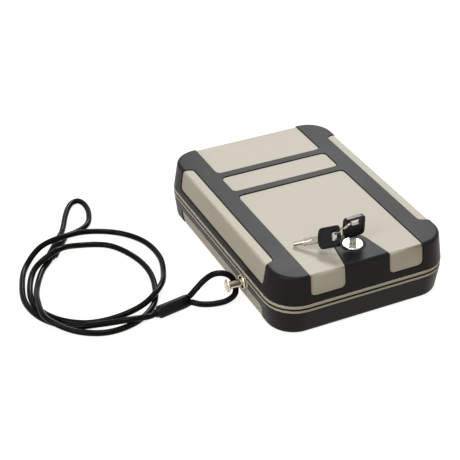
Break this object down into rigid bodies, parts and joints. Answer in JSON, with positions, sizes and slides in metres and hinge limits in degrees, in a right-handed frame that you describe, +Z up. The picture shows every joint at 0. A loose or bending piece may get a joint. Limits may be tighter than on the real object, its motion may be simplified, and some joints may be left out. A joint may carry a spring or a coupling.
{
  "type": "portable car safe",
  "caption": "Flat rounded clamshell safe with painted panels framed by black skins, a cam lock with keys on a ring, and a looped tether cable on a sliding post.",
  "frame": {"origin": "on the flat underside, at the centre of the case's outline, where the safe rests on a surface", "axes": "+X to the right, away from the cable post's wall; -Y towards the lock and the front; +Y along the case's length to the hinges; +Z up through the lid"},
  "size_m": [0.3617, 0.2932, 0.0883],
  "materials": {
    "case_paint": "satin light tan paint",
    "skin_plastic": "fine-textured black plastic",
    "foam": "dark open-cell foam",
    "zinc": "zinc-plated",
    "chrome": "polished chrome",
    "nickel": "bright nickel plate",
    "key_plastic": "glossy black moulding",
    "cable_jacket": "glossy black coating"
  },
  "bodies": {
    "base": {"base_shell": "case_paint", "base_bumper": "skin_plastic", "base_foam": "foam", "striker_plate": "zinc", "striker_screw_left": "zinc", "striker_screw_right": "zinc", "post_collar": "nickel", "post_collar_nut": "zinc", "hinge_pin_left": "zinc", "hinge_pin_right": "zinc", "ferrule_near": "cable_jacket", "ferrule_far": "cable_jacket", "cable_run": "cable_jacket", "cable_eye_near": "cable_jacket", "cable_eye_far": "cable_jacket"},
    "post": {"cable_post": "nickel", "post_retaining_clip": "zinc"},
    "lid": {"lid_shell": "case_paint", "lid_bumper": "skin_plastic", "lid_foam": "foam", "lock_housing": "chrome", "lock_doubler_plate": "zinc", "lock_nut": "zinc"},
    "plug": {"lock_plug": "chrome", "latch_cam": "zinc", "cam_screw": "zinc"},
    "key": {"key_blade": "nickel", "key_head": "key_plastic"},
    "ring": {"key_ring": "nickel"},
    "spare_key": {"spare_key_blade": "nickel", "spare_key_head": "key_plastic"}
  },
  "joints": [
    {"name": "lid_hinge", "type": "hinge", "parent": "base", "child": "lid", "pos_m": [0, 0.1294, 0.028], "axis": [-1, 0, 0], "range_deg": [0, 100]},
    {"name": "post_slide", "type": "slide", "parent": "base", "child": "post", "axis": [1, 0, 0], "range_m": [0, 0.0045]},
    {"name": "plug_turn", "type": "hinge", "parent": "lid", "child": "plug", "pos_m": [0, -0.094, 0.045], "axis": [0, 0, -1], "range_deg": [0, 90]},
    {"name": "key_slide", "type": "slide", "parent": "plug", "child": "key", "axis": [0, 0, 1], "range_m": [0, 0.022]},
    {"name": "ring_swing", "type": "hinge", "parent": "key", "child": "ring", "pos_m": [-0.00276, -0.094, 0.08339], "axis": [0.403, 0.7679, -0.4979], "range_deg": [0, 20]},
    {"name": "spare_swing", "type": "hinge", "parent": "ring", "child": "spare_key", "pos_m": [-0.01788, -0.09206, 0.07383], "axis": [0.4181, 0.7661, -0.4881], "range_deg": [0, 8]}
  ]
}
